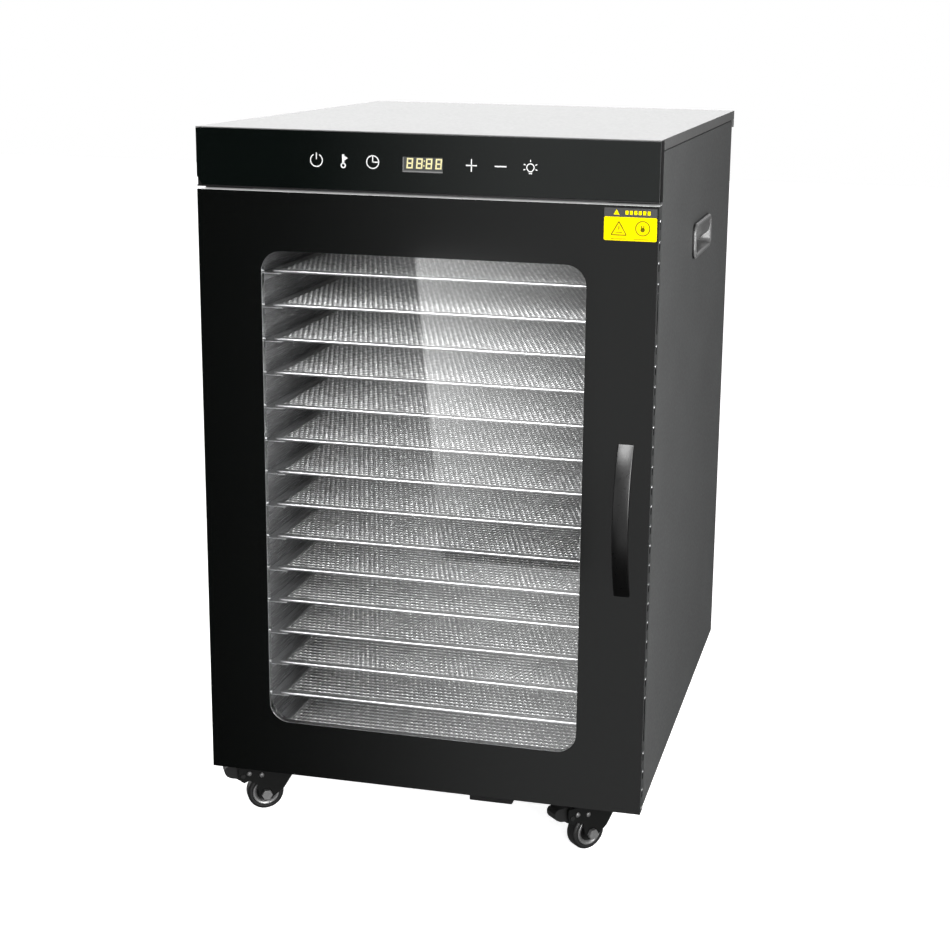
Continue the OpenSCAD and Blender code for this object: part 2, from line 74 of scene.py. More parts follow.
MM = 0.001
NODES = frame["nodes"]
RECORD = frame["record"]
BODY_OF = {n: body for body, members in RECORD["behaviour"]["bodies"].items() for n in members}
SLOT_OF = {part["node"]: part["material_slot"] for part in RECORD["subparts"]}
DOOR_LOW, DOOR_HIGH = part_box("door_panel")
FRONT_Y = DOOR_LOW.y
BASE_Z = DOOR_LOW.z
HALF_W = DOOR_HIGH.x / MM
DOOR_H = (DOOR_HIGH.z - BASE_Z) / MM


def cab(x, y, z):
    """A point of the cabinet's frame, in millimetres, as a point of the row frame in metres."""
    return Vector((x * MM, FRONT_Y + y * MM, BASE_Z + z * MM))


def in_cabinet(point):
    """The reverse of cab()."""
    return (point.x / MM, (point.y - FRONT_Y) / MM, (point.z - BASE_Z) / MM)


def joint_named(name):
    return next(joint for joint in frame["joints"] if joint["name"] == name)


def cab_box(node):
    """A CAD node's lowest and highest corner in the cabinet's frame, in millimetres."""
    low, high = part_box(node)
    return [in_cabinet(low), in_cabinet(high)]


# ---------------------------------------------------------------- materials


class Look:
    """A material around one Principled shader, with procedural grain."""

    def __init__(self, name, color, metallic=0.0, roughness=0.5, **values):
        self.material = bpy.data.materials.new(name)
        self.material.use_nodes = True
        self.tree = self.material.node_tree
        self.shader = self.tree.nodes["Principled BSDF"]
        self.color = color
        self.shader.inputs["Base Color"].default_value = (*color, 1)
        self.shader.inputs["Metallic"].default_value = metallic
        self.shader.inputs["Roughness"].default_value = roughness
        for socket, value in values.items():
            self.shader.inputs[socket.replace("_", " ")].default_value = value

    def node(self, kind, **inputs):
        made = self.tree.nodes.new(kind)
        for socket, value in inputs.items():
            made.inputs[socket.replace("_", " ")].default_value = value
        return made

    def link(self, output, target):
        self.tree.links.new(output, target)

    def noise(self, scale, stretch=(1, 1, 1), detail=3.0):
        """Noise in object coordinates; scale is in features per metre, stretch slows it along an axis."""
        coordinates = self.node("ShaderNodeTexCoord")
        mapping = self.node("ShaderNodeMapping", Scale=stretch)
        noise = self.node("ShaderNodeTexNoise", Scale=scale, Detail=detail, Roughness=0.6)
        self.link(coordinates.outputs["Object"], mapping.inputs["Vector"])
        self.link(mapping.outputs["Vector"], noise.inputs["Vector"])
        return noise.outputs["Fac"]

    def between(self, value, low, high):
        """Spreads noise, which mostly lies between 0.3 and 0.7, over low to high."""
        made = self.node("ShaderNodeMapRange", From_Min=0.3, From_Max=0.7, To_Min=low, To_Max=high)
        self.link(value, made.inputs["Value"])
        return made.outputs["Result"]

    def rough(self, value, low, high):
        """Roughness between low and high."""
        self.link(self.between(value, low, high), self.shader.inputs["Roughness"])

    def tinted(self, value, darker, lighter=1.0):
        """The colour times something between darker and lighter."""
        mix = self.node("ShaderNodeMix")
        mix.data_type = "RGBA"
        mix.inputs[6].default_value = (*[c * darker for c in self.color], 1)
        mix.inputs[7].default_value = (*[min(1, c * lighter) for c in self.color], 1)
        self.link(self.between(value, 0, 1), mix.inputs[0])
        self.link(mix.outputs[2], self.shader.inputs["Base Color"])

    def bumped(self, value, strength, distance=0.0003):
        """Relief of a height in metres."""
        bump = self.node("ShaderNodeBump", Strength=strength, Distance=distance)
        self.link(value, bump.inputs["Height"])
        self.link(bump.outputs["Normal"], self.shader.inputs["Normal"])


def painted(name, color, low, high, peel=0.06, peel_scale=650, **values):
    """Paint or powder coat with an orange-peel surface and slight cloudiness."""
    look = Look(name, color, roughness=low, **values)
    look.tinted(look.noise(9, detail=4), 0.94, 1.06)
    look.rough(look.noise(240), low, high)
    look.bumped(look.noise(peel_scale, detail=2), peel)
    return look.material


def brushed(name, color, low, high, stretch, depth=0.08, scale=1500, metallic=1.0, **values):
    """Bare steel with brushing along the axis that stretch slows down."""
    look = Look(name, color, metallic=metallic, roughness=low, **values)
    lines = look.noise(scale, stretch, detail=2)
    look.tinted(lines, 0.86, 1.08)
    look.rough(lines, low, high)
    look.bumped(lines, depth)
    return look.material


def moulded(name, color, low, high, grain=900, depth=0.15, **values):
    """Moulded plastic or rubber with a fine spark-eroded texture."""
    look = Look(name, color, roughness=low, **values)
    speck = look.noise(grain, detail=2)
    look.tinted(look.noise(30), 0.88, 1.1)
    look.rough(speck, low, high)
    look.bumped(speck, depth)
    return look.material


def printed(name, color, glow=0.0, **values):
    """Screen-print ink: slightly uneven, with an optional glow for what is lit from behind."""
    look = Look(name, color, roughness=0.45, Emission_Color=(*color, 1), Emission_Strength=glow, **values)
    look.tinted(look.noise(420), 0.93, 1.03)
    look.bumped(look.noise(2500), 0.05, 0.00005)
    return look.material


SHELL = painted("shell_paint", (0.055, 0.056, 0.056), 0.46, 0.56, Specular_IOR_Level=0.1)
SHELL_BACK = painted("back_paint", (0.05, 0.051, 0.052), 0.45, 0.55)
COVER = painted("cover_paint", (0.075, 0.075, 0.075), 0.3, 0.36, peel=0.02)
FASCIA_STEEL = brushed("fascia_steel", (0.06, 0.06, 0.061), 0.3, 0.42, (1, 0.02, 1))
DOOR_BLACK = painted("door_black", (0.0006, 0.0008, 0.0007), 0.15, 0.18, peel=0.006, peel_scale=420)
DOOR_RETURN = painted("door_return", (0.03, 0.031, 0.031), 0.35, 0.45)
EDGE_STEEL = brushed("cut_edge", (0.62, 0.62, 0.63), 0.3, 0.4, (0.05, 1, 0.05))
# Painted highlight: the door's top face glows faintly to stand in for its bright edge; it is no lamp.
DOOR_TOP_PAINTED_GLOW = painted("door_top_painted_glow", (0.6, 0.6, 0.6), 0.3, 0.4, Emission_Color=(1, 1, 1, 1),
                   Emission_Strength=0.22)
BLACK_GLASS = painted("black_glass", (0.001, 0.0016, 0.0014), 0.06, 0.08, peel=0.0)
STAINLESS = brushed("stainless", (0.62, 0.625, 0.63), 0.1, 0.16, (1, 0.01, 1), depth=0.01)
LINER_STEEL = brushed("liner_steel", (0.4, 0.405, 0.41), 0.2, 0.3, (1, 0.01, 1), depth=0.02, metallic=0.75)
RUNNER_STEEL = brushed("runner_steel", (0.36, 0.365, 0.37), 0.34, 0.44, (1, 0.01, 1), depth=0.04,
                       metallic=0.5)
RIM = brushed("rim_steel", (0.56, 0.565, 0.57), 0.4, 0.46, (0.02, 1, 1), depth=0.0, scale=300)
ZINC = brushed("zinc_steel", (0.5, 0.505, 0.51), 0.3, 0.45, (1, 1, 1), depth=0.1, scale=700)
BOLT = brushed("bolt_steel", (0.19, 0.19, 0.19), 0.42, 0.52, (1, 1, 1), depth=0.1, scale=900, metallic=0.8)
ELEMENT = brushed("element_steel", (0.16, 0.14, 0.13), 0.4, 0.55, (1, 1, 1), depth=0.1, scale=400)
CASTOR_STEEL = painted("castor_steel", (0.003, 0.0032, 0.0031), 0.34, 0.44, peel=0.05,
                       Specular_IOR_Level=0.14)
HANDLE = painted("handle_black", (0.0012, 0.0012, 0.0012), 0.27, 0.31, peel=0.01, Specular_IOR_Level=0.55)
SIDE_PLASTIC = moulded("side_plastic", (0.085, 0.085, 0.085), 0.28, 0.36)
PLASTIC = moulded("black_plastic", (0.004, 0.004, 0.004), 0.42, 0.5, Specular_IOR_Level=0.35)
TYRE = moulded("tyre_rubber", (0.004, 0.004, 0.004), 0.42, 0.54, grain=500, Specular_IOR_Level=0.4)
HUB = moulded("hub_plastic", (0.004, 0.004, 0.004), 0.3, 0.38, Specular_IOR_Level=0.3)
HUB_RING = brushed("hub_ring", (0.22, 0.22, 0.22), 0.34, 0.44, (1, 1, 1), depth=0.05, scale=900,
                   metallic=0.85)
SILICONE = moulded("silicone", (0.2, 0.205, 0.21), 0.45, 0.6)
BOARD = moulded("circuit_board", (0.015, 0.09, 0.035), 0.3, 0.45, grain=300)
LAMP = moulded("lamp_diffuser", (0.9, 0.88, 0.8), 0.4, 0.5, grain=300, depth=0.05)
ICON = printed("icon_white", (0.42, 0.42, 0.42))
DIGIT = printed("digit_cream", (0.38, 0.345, 0.18), 0.08)
DISPLAY = printed("display_window", (0.028, 0.029, 0.028), Specular_IOR_Level=0.2)
DISPLAY_EDGE = printed("display_edge", (0.08, 0.08, 0.08))
LABEL_YELLOW = printed("label_yellow", (0.44, 0.345, 0.0), Specular_IOR_Level=0.02)
LABEL_GREY = printed("label_grey", (0.028, 0.028, 0.028), Specular_IOR_Level=0.2)
LABEL_INK = printed("label_ink", (0.07, 0.055, 0.0), Specular_IOR_Level=0.1)


def wire_steel():
    """Woven steel wire with painted light: a painted highlight on the crowns of the weave and painted shade
    where wires cross below.
    """
    look = Look("wire_steel", (0.93, 0.935, 0.935), metallic=0.45)
    look.rough(look.noise(300), 0.46, 0.54)
    coordinates = look.node("ShaderNodeTexCoord")
    split = look.node("ShaderNodeSeparateXYZ")
    # Painted shade and highlight: by height, the colour runs from dark low in the weave to full on the
    # crowns, times a random speckle.
    low, crown = -0.2 * MM, 1.1 * MM
    height = look.node("ShaderNodeMapRange", From_Min=low, From_Max=crown, To_Min=0.22, To_Max=1.0)
    height.interpolation_type = "SMOOTHSTEP"
    shade = look.node("ShaderNodeMix")
    shade.data_type = "RGBA"
    shade.inputs[6].default_value = (0, 0, 0, 1)
    shade.inputs[7].default_value = (*look.color, 1)
    look.link(coordinates.outputs["Object"], split.inputs[0])
    look.link(split.outputs[2], height.inputs[0])
    painted_crown_shade_and_speckle = look.node("ShaderNodeMath")
    painted_crown_shade_and_speckle.operation = "MULTIPLY"
    look.link(height.outputs[0], painted_crown_shade_and_speckle.inputs[0])
    look.link(look.between(look.noise(170, (1, 0.8, 0.1), detail=1), 0.4, 1.15), painted_crown_shade_and_speckle.inputs[1])
    look.link(painted_crown_shade_and_speckle.outputs[0], shade.inputs[0])
    look.link(shade.outputs[2], look.shader.inputs["Base Color"])
    return look.material


WIRE = wire_steel()


def clear_glass():
    """Clear glass for a flat pane: what isn't mirrored goes straight through."""
    look = Look("clear_glass", (0.93, 0.935, 0.935), metallic=1.0, roughness=0.015, Alpha=0.14)
    look.tinted(look.noise(4), 0.97, 1.0)
    return look.material


GLASS = clear_glass()


# ---------------------------------------------------------------- mesh helpers

WELD = 2e-6
FLAT_ANGLE = math.radians(1.5)
CREASE_ANGLE = math.radians(28)
SHARP_ANGLE = math.radians(50)


def mesh_of(name, vertices, faces, smooth):
    """A mesh in metres, shaded smoothly up to an angle in degrees."""
    mesh = bpy.data.meshes.new(name)
    mesh.from_pydata([tuple(v) for v in vertices], [], faces)
    mesh.validate()
    finish_mesh(mesh, smooth)
    return mesh


def finish_mesh(mesh, smooth):
    """Outward faces, and smooth shading up to an angle."""
    work = bmesh.new()
    work.from_mesh(mesh)
    bmesh.ops.recalc_face_normals(work, faces=work.faces)
    work.to_mesh(mesh)
    work.free()
    for face in mesh.polygons:
        face.use_smooth = True
    mesh.set_sharp_from_angle(angle=math.radians(smooth))


def add_piece(name, mesh, body, slot, materials, replaces=(), at=None):
    """Puts a mesh into the scene as a piece on a body."""
    piece = bpy.data.objects.new(name, mesh)
    if at is not None:
        piece.location = at
    bpy.context.scene.collection.objects.link(piece)
    if not mesh.materials:
        for material in materials:
            mesh.materials.append(material)
    bpy.context.view_layer.update()
    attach(piece, body)
    if replaces:
        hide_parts(*replaces)
    return piece


def refine(node, materials, bevel=0.35, segments=2, paint=None):
    """A node's own shape with clean faces and rounded edges, as a piece that replaces the node.

    paint maps a face's place in the cabinet's frame and its normal to an index into materials.
    """
    mesh = bpy.data.meshes.new(node + "_refined")
    work = bmesh.new()
    work.from_mesh(NODES[node].data)
    bmesh.ops.remove_doubles(work, verts=work.verts, dist=WELD)
    bmesh.ops.dissolve_limit(work, angle_limit=FLAT_ANGLE, verts=work.verts, edges=work.edges)
    if bevel:
        sharp = [e for e in work.edges if len(e.link_faces) == 2 and e.calc_face_angle(0.0) > CREASE_ANGLE]
        bmesh.ops.bevel(work, geom=sharp, offset=bevel * MM, segments=segments, affect="EDGES",
                        profile=0.5, clamp_overlap=True, material=-1)
    for face in work.faces:
        face.smooth = True
        face.material_index = 0
        if paint:
            face.material_index = paint(in_cabinet(face.calc_center_median()), face.normal)
    work.to_mesh(mesh)
    work.free()
    mesh.set_sharp_from_angle(angle=SHARP_ANGLE)
    piece = add_piece(node + "_piece", mesh, BODY_OF[node], SLOT_OF[node], materials, (node,))
    weighted = piece.modifiers.new("even_normals", "WEIGHTED_NORMAL")
    weighted.keep_sharp = True


def rounded_path(x, y, r, steps=8):
    """A closed rounded rectangle as (x, y, outward x, outward y), anticlockwise."""
    path = []
    corners = [(x[1] - r, y[0] + r, -90), (x[1] - r, y[1] - r, 0), (x[0] + r, y[1] - r, 90),
               (x[0] + r, y[0] + r, 180)]
    for cx, cy, start in corners:
        for k in range(steps + 1):
            angle = math.radians(start + 90 * k / steps)
            c, s = math.cos(angle), math.sin(angle)
            path.append((cx + r * c, cy + r * s, c, s))
    return path


def circle_path(x, y, r, steps=48):
    """A closed circle, in the form of rounded_path."""
    path = []
    for k in range(steps):
        angle = 2 * math.pi * k / steps
        c, s = math.cos(angle), math.sin(angle)
        path.append((x + r * c, y + r * s, c, s))
    return path


def swept(path, profile, place, closed_profile=True, cap=False):
    """A profile of (outward, height) points carried round a closed path. place maps (a, b, height)."""
    vertices = [place(a + na * out, b + nb * out, up) for a, b, na, nb in path for out, up in profile]
    n, m = len(path), len(profile)
    spans = m if closed_profile else m - 1
    faces = []
    for i in range(n):
        for j in range(spans):
            a, b = i * m + j, i * m + (j + 1) % m
            c, d = ((i + 1) % n) * m + (j + 1) % m, ((i + 1) % n) * m + j
            faces.append((a, b, c, d))
    if cap:
        faces.append([i * m for i in range(n)])
        faces.append([i * m + m - 1 for i in reversed(range(n))])
    return vertices, faces


def on_front(a, b, height):
    """Places a shape drawn in X and Z on a plane at Y = -height."""
    return cab(a, -height, b)


def joined(parts):
    """Several (vertices, faces) pairs as one."""
    vertices, faces = [], []
    for part_vertices, part_faces in parts:
        start = len(vertices)
        vertices += part_vertices
        faces += [tuple(start + i for i in face) for face in part_faces]
    return vertices, faces


def plate_shape(path, low, high, place=on_front, edge=0.0):
    """A flat plate with the path as its outline, between two heights, with a small rounded edge."""
    profile = [(0, low), (0, high)]
    if edge:
        profile = [(-edge, low), (0, low + edge), (0, high - edge), (-edge, high)]
    return swept(path, profile, place, closed_profile=False, cap=True)


def polygon_path(points):
    """A closed outline of plain corners. Outward directions aren't needed for a plate without an edge."""
    return [(a, b, 0, 0) for a, b in points]


def bar(a0, b0, a1, b1, width):
    """A straight stroke from one point to another as an outline with square ends."""
    along = Vector((a1 - a0, b1 - b0)).normalized()
    side = Vector((-along.y, along.x)) * width / 2
    start, end = Vector((a0, b0)), Vector((a1, b1))
    return polygon_path([start - side, end - side, end + side, start + side])


def arc_points(x, y, r, start, end, steps):
    """Points along an arc, angles in degrees."""
    angles = [math.radians(start + (end - start) * k / steps) for k in range(steps + 1)]
    return [(x + r * math.cos(angle), y + r * math.sin(angle)) for angle in angles]


def arc_stroke(x, y, r, start, end, width):
    """Part of a ring, as an outline, angles in degrees."""
    outer, inner = (arc_points(x, y, r + side * width / 2, start, end, 40) for side in (1, -1))
    return polygon_path(outer + inner[::-1])


def ring_stroke(x, y, r, width):
    """A ring whose ends all but meet."""
    return arc_stroke(x, y, r, 0, 359.9, width)


def triangle_points(x, y, r):
    """The corners of an upright triangle round a point."""
    return arc_points(x, y, r, 90, 330, 2)


def lathe(profile, steps, place):
    """A closed profile of (radius, along) points turned round an axis. place maps (a, b, along)."""
    vertices, faces = [], []
    m = len(profile)
    for i in range(steps):
        angle = 2 * math.pi * i / steps
        for radius, along in profile:
            vertices.append(place(radius * math.cos(angle), radius * math.sin(angle), along))
        for j in range(m):
            a, b = i * m + j, i * m + (j + 1) % m
            c, d = ((i + 1) % steps) * m + (j + 1) % m, ((i + 1) % steps) * m + j
            faces.append((a, b, c, d))
    return vertices, faces


# ---------------------------------------------------------------- trays

TRAY_COUNT = 16
RIM_W = 9
RIM_CORNER = 7
CROWN_PITCH = 6.5
ROW_PITCH = 9.8
CROSS_R = 0.68
CROSS_LIFT = 0.78
CROSS_SIDES = 6
LONG_R = 0.42
LONG_LIFT = 0.34
LONG_SIDES = 4


def woven_wires(x, y):
    """Plain-weave crimped wires over a rectangle, round z = 0, in millimetres of the tray's own frame.

    Stout cross wires run left to right and rise over every second one of the thinner long wires.
    CROWN_PITCH lies between the crowns of one cross wire, and ROW_PITCH between two cross wires.
    """
    vertices, faces = [], []
    columns = round((x[1] - x[0]) / (CROWN_PITCH / 2))
    rows = round((y[1] - y[0]) / ROW_PITCH)
    step_x = (x[1] - x[0]) / columns
    step_y = (y[1] - y[0]) / rows

    def wire(points, sideways, radius, sides):
        start = len(vertices)
        turns = [2 * math.pi * (k + 0.5) / sides for k in range(sides)]
        for px, py, pz in points:
            for turn in turns:
                across, up = radius * math.cos(turn), radius * math.sin(turn)
                vertices.append(((px + across * sideways[0]) * MM, (py + across * sideways[1]) * MM,
                                 (pz + up) * MM))
        for i in range(len(points) - 1):
            for k in range(sides):
                a, b = start + i * sides + k, start + i * sides + (k + 1) % sides
                faces.append((a, b, b + sides, a + sides))
        faces.append(tuple(start + k for k in range(sides)))
        last = start + (len(points) - 1) * sides
        faces.append(tuple(last + k for k in reversed(range(sides))))

    for i in range(1, columns):
        wire([(x[0] + i * step_x, y[0] + j * step_y, -LONG_LIFT * (-1) ** (i + j))
              for j in range(rows + 1)], (1, 0), LONG_R, LONG_SIDES)
    for j in range(1, rows):
        wire([(x[0] + k * step_x / 2, y[0] + j * step_y,
               CROSS_LIFT * (-1) ** j * round(math.cos(math.pi * k / 2)))
              for k in range(2 * columns + 1)], (0, 1), CROSS_R, CROSS_SIDES)
    return vertices, faces


def rim_profile(width, height, steps=5):
    """A folded hem: a flat bar with fully rounded edges, as (inward, up) points."""
    r = height / 2
    points = []
    for cx, start in ((-r, -90), (-width + r, 90)):
        for k in range(steps + 1):
            angle = math.radians(start + 180 * k / steps)
            points.append((cx + r * math.cos(angle), r * math.sin(angle)))
    return points


def build_trays():
    low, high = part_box("tray_01")
    half = (high.x - low.x) / 2 / MM
    depth = (high.y - low.y) / MM
    height = (high.z - low.z) / MM
    middle = (low + high) / 2
    inset = RIM_W - 2
    vertices, faces = woven_wires((inset - half, half - inset), (inset - depth / 2, depth / 2 - inset))
    weave = mesh_of("tray_weave", vertices, faces, smooth=180)
    path = rounded_path((-half, half), (-depth / 2, depth / 2), RIM_CORNER, steps=6)
    vertices, faces = swept(path, rim_profile(RIM_W, height),
                            lambda a, b, up: Vector((a, b, up)) * MM)
    rim = mesh_of("tray_rim", vertices, faces, smooth=60)
    for i in range(1, TRAY_COUNT + 1):
        node = "tray_%02d" % i
        low_z, high_z = (corner.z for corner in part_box(node))
        at = Vector((middle.x, middle.y, (low_z + high_z) / 2))
        add_piece(node + "_weave", weave, node, "mesh_steel", [WIRE], at=at)
        add_piece(node + "_rim", rim, node, "mesh_steel", [RIM], (node,), at=at)


# ---------------------------------------------------------------- door

WINDOW_X = (-196.5, 194.5)
WINDOW_Z = (70, 662)
DOOR_PAINTS = [DOOR_BLACK, EDGE_STEEL, DOOR_RETURN, DOOR_TOP_PAINTED_GLOW]


def door_paint(place, normal):
    """Black on the front, bare cut edge round the window, a painted glow on the top, grey right return."""
    x, y, z = place
    in_window = WINDOW_X[0] - 2 < x < WINDOW_X[1] + 2 and WINDOW_Z[0] - 2 < z < WINDOW_Z[1] + 2
    paint = DOOR_BLACK
    if y < 1.2 and in_window and abs(normal.y) < 0.6:
        paint = EDGE_STEEL
    # The upward faces along the door's top get the painted glow.
    elif normal.z > 0.2 and z > DOOR_H - 1:
        paint = DOOR_TOP_PAINTED_GLOW
    elif y > 0.6 and normal.x > 0.6 and x > HALF_W - 0.6:
        paint = DOOR_RETURN
    return DOOR_PAINTS.index(paint)


def build_door():
    refine("door_panel", DOOR_PAINTS, bevel=0.3, paint=door_paint)
    refine("door_glass", [GLASS], bevel=0.4)
    refine("door_inner_frame", [STAINLESS], bevel=0.25)
    refine("door_gasket", [SILICONE], bevel=0.5)
    refine("hinge_door_leaves", [CASTOR_STEEL], bevel=0.25)
    refine("door_screws", [ZINC], bevel=0.35)
    build_handle()
    build_louvre_lips()
    build_label()


def build_handle():
    """The bow handle: a flat strip with softly rounded edges, bent to an arc."""
    low, high = cab_box("door_handle")
    reach = -low[1]
    half = (high[2] - low[2]) / 2 + 0.1
    middle = (high[2] + low[2]) / 2
    radius = (half * half + reach * reach) / (2 * reach)
    thickness, edge, steps = 5.5, 1.1, 56
    above_door = 0.06
    section = [(a, b) for a, b, _, _ in rounded_path((low[0], high[0]), (-thickness, 0), edge, steps=3)]
    limit = math.asin(half / radius)
    inner_limit = math.acos((radius - reach) / (radius - thickness))
    vertices, faces = [], []
    m = len(section)
    for i in range(steps + 1):
        share = 2 * i / steps - 1
        for x, depth in section:
            angle = share * (limit + (inner_limit - limit) * (-depth / thickness))
            r = radius + depth
            y = min(radius - reach - r * math.cos(angle), -above_door)
            vertices.append(cab(x, y, middle + r * math.sin(angle)))
        if i < steps:
            for k in range(m):
                a, b = i * m + k, i * m + (k + 1) % m
                faces.append((a, b, b + m, a + m))
    faces.append(tuple(range(m)))
    faces.append(tuple(steps * m + k for k in reversed(range(m))))
    mesh = mesh_of("bow_handle", vertices, faces, smooth=50)
    handle = add_piece("bow_handle", mesh, "door", "handle_black", [HANDLE], ("door_handle",))
    handle.visible_glossy = False


LOUVRE_COUNT = 31
LOUVRE_PITCH = 23.65
LOUVRE_START = 3
LOUVRE_H = 3.2
LOUVRE_Y = (8.4, 13.6)
LOUVRE_SKIPPED = (4, 5, 25, 26)


def build_louvre_lips():
    """A rolled lip at the upper edge of each small opening in the door's right return."""
    profile = [(0, -0.18), (0, 0.225), (-0.45, 0.558), (-1.1, 0.63)]
    parts = []
    for i in range(LOUVRE_COUNT):
        if i in LOUVRE_SKIPPED:
            continue
        z = LOUVRE_START + LOUVRE_PITCH * i
        path = rounded_path(LOUVRE_Y, (z + 0.2, z + LOUVRE_H), 1.2, steps=4)
        parts.append(swept(path, profile, lambda a, b, out: cab(HALF_W + out, a, b),
                           closed_profile=False, cap=True))
    vertices, faces = joined(parts)
    mesh = mesh_of("louvre_lips", vertices, faces, 60)
    add_piece("door_louvre_lips", mesh, "door", "stainless", [EDGE_STEEL])


def print_piece(name, outlines, material, body, slot, low, high, edge=0.0):
    """Thin printed or applied shapes on a plane in front of the door or the fascia."""
    vertices, faces = joined([plate_shape(path, low, high, edge=edge) for path in outlines])
    add_piece(name, mesh_of(name, vertices, faces, 40), body, slot, [material])


LABEL_X = (213, 273)
LABEL_Z = (692, 728.5)
LABEL_HEADER_H = 10


def label_ink():
    """A sign in a triangle, a hand in a ring, and two thin lines below them."""
    low, split = LABEL_Z[0], LABEL_Z[1] - LABEL_HEADER_H
    middle = (low + split) / 2
    left, right = LABEL_X[0] + 17, LABEL_X[1] - 16
    corners = triangle_points(left, middle - 2, 10)
    ink = [bar(*corners[k], *corners[(k + 1) % 3], 1.15) for k in range(3)]
    ink.append(bar(left - 4, middle - 4, left + 4, middle - 4, 0.8))
    ink.append(bar(left, middle - 1, left, middle + 3, 1.0))
    ink.append(ring_stroke(right, middle + 1, 8, 1.1))
    ink.append(circle_path(right, middle - 0.6, 2.5))
    ink += [bar(x, middle, x, middle + 4.4, 1.2) for x in (right - 1.2, right + 1.2)]
    ink += [bar(x, low + 2, x + 18, low + 2, 0.6) for x in (LABEL_X[0] + 8, LABEL_X[0] + 34)]
    return ink


def build_label():
    """A generic two-tone label: blocks stand where lettering would be."""
    split = LABEL_Z[1] - LABEL_HEADER_H
    blocks = [bar(x, split + 5, x + 3.4, split + 5, 4.4)
              for x in (LABEL_X[0] + 24 + 5 * k for k in range(6))]
    blocks.append(polygon_path(triangle_points(LABEL_X[0] + 14, split + 4.4, 4)))
    body = [rounded_path(LABEL_X, (LABEL_Z[0], split), 1.8)]
    header = [rounded_path(LABEL_X, (split, LABEL_Z[1]), 0.8)]
    print_piece("label_body", body, LABEL_YELLOW, "door", "door_black", 0.05, 0.25, 0.05)
    print_piece("label_header", header, LABEL_GREY, "door", "door_black", 0.05, 0.25, 0.05)
    print_piece("label_pictograms", label_ink(), LABEL_INK, "door", "door_black", 0.25, 0.3)
    print_piece("label_header_marks", blocks, LABEL_YELLOW, "door", "door_black", 0.25, 0.3)


# ---------------------------------------------------------------- control fascia

ICON_Z = 769.5
ICON_R = 7.2
STROKE = 1.15
DISPLAY_X = (-22, 25.2)
DISPLAY_Z = (759.5, 776.8)
DIGIT_PITCH = 11.4
DIGIT_SIZE = (5.8, 10.2)
DIGIT_STROKE = 1.6


def digit_segments(x, z):
    """The seven segments of an eight, slightly leaning, with hairline gaps between them."""
    width, height = DIGIT_SIZE
    half_lean, gap = 0.45, 0.12
    overlap = DIGIT_STROKE / 2
    rows = [z, z + height / 2, z + height]
    segments = []
    for k, row in enumerate(rows):
        ends = (x + overlap + gap + half_lean * k, x + width - overlap - gap + half_lean * k)
        segments.append(bar(ends[0], row, ends[1], row, DIGIT_STROKE))
    for foot in (x, x + width):
        middle, top = foot + half_lean, foot + 2 * half_lean
        segments.append(bar(foot, rows[0] - overlap, middle, rows[1] - gap, DIGIT_STROKE))
        segments.append(bar(middle, rows[1] + gap, top, rows[2] + overlap, DIGIT_STROKE))
    return segments


def build_display():
    """The window of the clock display, its lit edge and four digits with a colon."""
    left, right, low, high = *DISPLAY_X, *DISPLAY_Z
    window = [rounded_path(DISPLAY_X, DISPLAY_Z, 0.6)]
    edge = [bar(left - 0.5, low + 0.9, right, low + 0.9, 1.7),
            bar(left + 0.4, low + 0.9, left + 0.4, high - 0.3, 1.1)]
    digits = [segment for k in range(4) for segment in digit_segments(left + 5 + DIGIT_PITCH * k, low + 5.1)]
    digits += [circle_path(3.0, 767.2, 0.8, 16), circle_path(3.6, 772.6, 0.8, 16)]
    print_piece("display_window", window, DISPLAY, "cabinet", "display", 0.01, 0.03)
    print_piece("display_edge", edge, DISPLAY_EDGE, "cabinet", "display", 0.03, 0.06)
    print_piece("display_digits", digits, DIGIT, "cabinet", "display", 0.05, 0.1)


def power_icon(x, z):
    """An open ring with a stroke in its gap."""
    return [arc_stroke(x, z, ICON_R, 118, 422, STROKE), bar(x, z + 1, x, z + 8.6, STROKE)]


def temperature_icon(x, z):
    """A thermometer with a pointer."""
    pointer = [(x + 1.5, z + 6), (x + 5.5, z + 3.4), (x + 1.5, z + 0.8)]
    return [ring_stroke(x, z - 5, 2.5, 1.4), bar(x, z - 2.6, x, z + 7.6, 2.6), polygon_path(pointer)]


def clock_icon(x, z):
    """A clock face with two hands."""
    return [ring_stroke(x, z, ICON_R, STROKE), bar(x, z - 0.7, x, z + 7, STROKE),
            bar(x - 0.7, z, x + 7, z, STROKE)]


def plus_icon(x, z):
    return [bar(x - 6.5, z, x + 6.5, z, 1.25), bar(x, z - 7, x, z + 7, 1.25)]


def minus_icon(x, z):
    return [bar(x - 6.7, z, x + 6.7, z, 1.4)]


def lamp_icon(x, z):
    """A small lamp: a bulb outline on a base, with rays."""
    thin = 1.1
    shapes = [arc_stroke(x, z, 4.2, -60, 240, thin), bar(x - 2.4, z - 4.6, x + 2.4, z - 4.6, thin),
              bar(x - 1.8, z - 6.8, x + 1.8, z - 6.8, thin)]
    for angle in (-20, 25, 90, 155, 200):
        c, s = math.cos(math.radians(angle)), math.sin(math.radians(angle))
        shapes.append(bar(x + 6.2 * c, z + 6.2 * s, x + 8.6 * c, z + 8.6 * s, thin))
    return shapes


ICONS = {"power": (power_icon, -126), "temperature": (temperature_icon, -93.5), "clock": (clock_icon, -58),
         "plus": (plus_icon, 59), "minus": (minus_icon, 93), "lamp": (lamp_icon, 127.5)}


def build_fascia():
    refine("control_glass", [BLACK_GLASS], bevel=0.35)
    refine("fascia_housing", [FASCIA_STEEL], bevel=0.3)
    for name, (icon, x) in ICONS.items():
        print_piece("icon_" + name, icon(x, ICON_Z), ICON, "cabinet", "black_glass", 0.02, 0.1)
    build_display()


# ---------------------------------------------------------------- side handles


